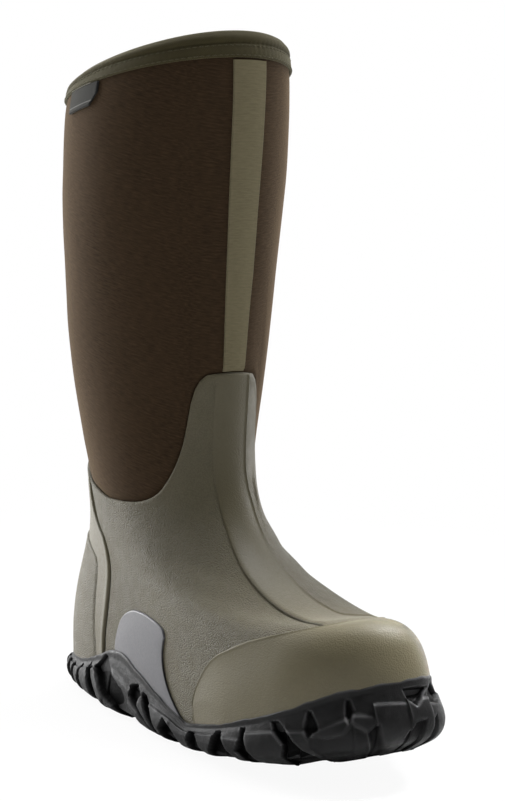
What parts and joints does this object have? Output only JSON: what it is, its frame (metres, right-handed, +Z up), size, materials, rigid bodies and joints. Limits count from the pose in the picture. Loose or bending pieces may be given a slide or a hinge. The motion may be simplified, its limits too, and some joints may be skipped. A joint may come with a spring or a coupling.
{
  "type": "insulated rubber hunting boot",
  "caption": "Tall pull-on hunting boot: neoprene shaft with bound collar and seam tape, moulded rubber foot with toe, heel and arch overlays, lugged sole, loose footbed.",
  "frame": {"origin": "on the ground, under the middle of the boot's bounding box", "axes": "+Z up the shaft, +X towards the toe, +Y towards the inner (medial) side of this right boot"},
  "size_m": [0.314, 0.1329, 0.4099],
  "materials": {
    "outsole": "matte black lugged rubber",
    "midsole": "closed-cell foam",
    "arch_shank": "satin steel",
    "insole_board": "fibreboard",
    "bootie_bottom": "neoprene foam",
    "foot_bootie": "neoprene foam",
    "foot_lining": "brushed jersey",
    "heel_stiffener": "thermoplastic sheet",
    "toe_puff": "thermoplastic sheet",
    "rubber_shell": "olive-grey pebbled rubber",
    "toe_cap": "olive satin rubber",
    "heel_overlay": "olive-grey satin rubber",
    "heel_cup_panel": "olive-grey pebbled rubber",
    "outer_arch_wing": "smooth grey rubber",
    "inner_arch_wing": "smooth grey rubber",
    "instep_band": "olive satin rubber",
    "shaft_sleeve": "dark brown jersey-faced neoprene",
    "shaft_lining": "brushed jersey",
    "front_seam_tape": "olive tape",
    "rear_seam_tape": "olive tape",
    "collar_binding": "dark olive woven binding",
    "binding_stitch_upper": "thread",
    "binding_stitch_lower": "thread",
    "footbed": "moulded foam",
    "footbed_cover": "knit",
    "label_tag": "blank black woven label",
    "tag_stitch": "thread"
  },
  "bodies": {
    "foot": {"outsole": "outsole", "midsole": "midsole", "arch_shank": "arch_shank", "insole_board": "insole_board", "bootie_bottom": "bootie_bottom", "foot_bootie": "foot_bootie", "foot_lining": "foot_lining", "heel_stiffener": "heel_stiffener", "toe_puff": "toe_puff", "rubber_shell": "rubber_shell", "toe_cap": "toe_cap", "heel_overlay": "heel_overlay", "heel_cup_panel": "heel_cup_panel", "outer_arch_wing": "outer_arch_wing", "inner_arch_wing": "inner_arch_wing", "instep_band": "instep_band"},
    "shaft": {"shaft_sleeve": "shaft_sleeve", "shaft_lining": "shaft_lining", "front_seam_tape": "front_seam_tape", "rear_seam_tape": "rear_seam_tape", "collar_binding": "collar_binding", "binding_stitch_upper": "binding_stitch_upper", "binding_stitch_lower": "binding_stitch_lower"},
    "loose_footbed": {"footbed": "footbed", "footbed_cover": "footbed_cover"},
    "tag": {"label_tag": "label_tag", "tag_stitch": "tag_stitch"}
  },
  "joints": [
    {"name": "ankle_flex", "type": "hinge", "parent": "foot", "child": "shaft", "pos_m": [-0.081, 0, 0.104], "axis": [0, 1, 0], "range_deg": [-8, 15], "stiffness_Nm_per_rad": 8, "deforming": ["rubber_shell", "foot_bootie", "foot_lining", "instep_band", "heel_overlay"]},
    {"name": "footbed_lift", "type": "hinge", "parent": "foot", "child": "loose_footbed", "pos_m": [0.1395, 0.016, 0.036], "axis": [0, 1, 0], "range_deg": [0, 9]},
    {"name": "tag_flip", "type": "hinge", "parent": "shaft", "child": "tag", "pos_m": [-0.08408, -0.06314, 0.37234], "axis": [-0.9699, 0.0504, -0.2383], "range_deg": [0, 70], "stiffness_Nm_per_rad": 0.002}
  ]
}
